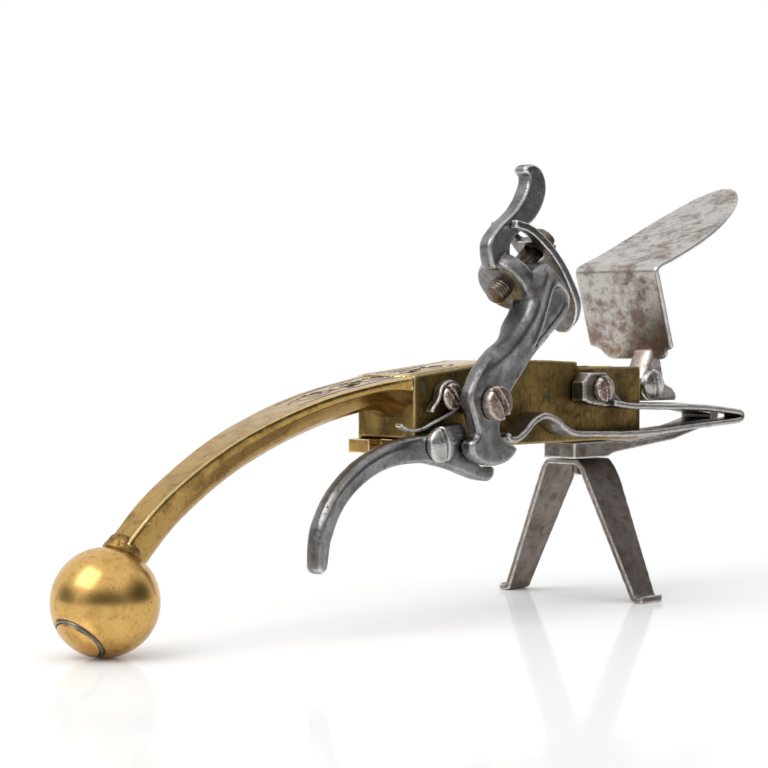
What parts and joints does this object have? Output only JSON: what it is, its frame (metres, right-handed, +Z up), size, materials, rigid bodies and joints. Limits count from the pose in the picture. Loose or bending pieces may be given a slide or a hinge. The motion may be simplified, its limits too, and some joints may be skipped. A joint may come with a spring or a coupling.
{
  "type": "flintlock tinder lighter",
  "caption": "Brass tinder box with a curved ball-ended handle, an external steel flintlock, an open hinged striker lid and a splayed stand.",
  "frame": {"origin": "on the surface that the ball and the two feet stand on, under the middle of the length and width, with the frizzen open", "axes": "+X from the handle towards the tinder pan, +Y away from the lock side, +Z up"},
  "size_m": [0.1842, 0.0374, 0.0859],
  "materials": {
    "box_brass": "dark patina, file marks",
    "handle_brass": "polished with brown patina",
    "ball_brass": "polished, small pits",
    "lock_steel": "grey, worn edges",
    "spring_steel": "brown-grey, pitted",
    "screw_steel": "worn, brown",
    "bright_steel": "bright, worn",
    "frizzen_steel": "mottled, rust spots",
    "stand_steel": "mottled brown-grey"
  },
  "bodies": {
    "box": {"box_body": "box_brass", "handle": "handle_brass", "pommel_ball": "ball_brass", "pommel_plug": "ball_brass", "plug_ring": "bright_steel", "cock_screw": "screw_steel", "trigger_screw": "bright_steel", "sear_spring": "spring_steel", "sear_spring_screw": "screw_steel", "mainspring": "spring_steel", "mainspring_screw": "screw_steel", "frizzen_screw": "bright_steel", "feather_spring": "spring_steel", "stand": "stand_steel", "stand_rivet": "screw_steel"},
    "bottom_cover": {"bottom_cover": "handle_brass"},
    "cock": {"cock": "lock_steel"},
    "top_jaw": {"top_jaw": "lock_steel"},
    "jaw_screw": {"jaw_screw": "screw_steel"},
    "trigger": {"trigger": "lock_steel"},
    "mainspring_leaf": {"mainspring_leaf": "spring_steel"},
    "frizzen": {"frizzen": "frizzen_steel"}
  },
  "joints": [
    {"name": "cock_pivot", "type": "hinge", "parent": "box", "child": "cock", "pos_m": [-0.0026, -0.0128, 0.0405], "axis": [0, -1, 0], "range_deg": [0, 45], "stiffness_Nm_per_rad": 0.05, "springref_deg": -28.65},
    {"name": "mainspring_flex", "type": "hinge", "parent": "box", "child": "mainspring_leaf", "pos_m": [0.0793, -0.0101, 0.0358], "axis": [0, 1, 0], "range_deg": [0, 5.6]},
    {"name": "trigger_pivot", "type": "hinge", "parent": "box", "child": "trigger", "pos_m": [-0.0136, -0.0092, 0.0331], "axis": [0, 1, 0], "range_deg": [0, 7], "stiffness_Nm_per_rad": 0.04, "springref_deg": -17.19, "deforming": ["sear_spring"]},
    {"name": "frizzen_pivot", "type": "hinge", "parent": "box", "child": "frizzen", "pos_m": [0.0557, -0.0035, 0.0427], "axis": [0, -1, 0], "range_deg": [0, 71.8]},
    {"name": "jaw_opening", "type": "slide", "parent": "cock", "child": "top_jaw", "axis": [0.8, 0, 0.6], "range_m": [0, 0.0025]},
    {"name": "jaw_screw_turn", "type": "hinge", "parent": "top_jaw", "child": "jaw_screw", "pos_m": [0.0084, -0.008, 0.063], "axis": [0.8, 0, 0.6], "continuous": true},
    {"name": "cover_slide", "type": "slide", "parent": "box", "child": "bottom_cover", "axis": [-1, 0, 0], "range_m": [0, 0.024]}
  ],
  "couplings": [
    {"joint": "mainspring_flex", "follows": "cock_pivot", "ratio": 0.122}
  ]
}
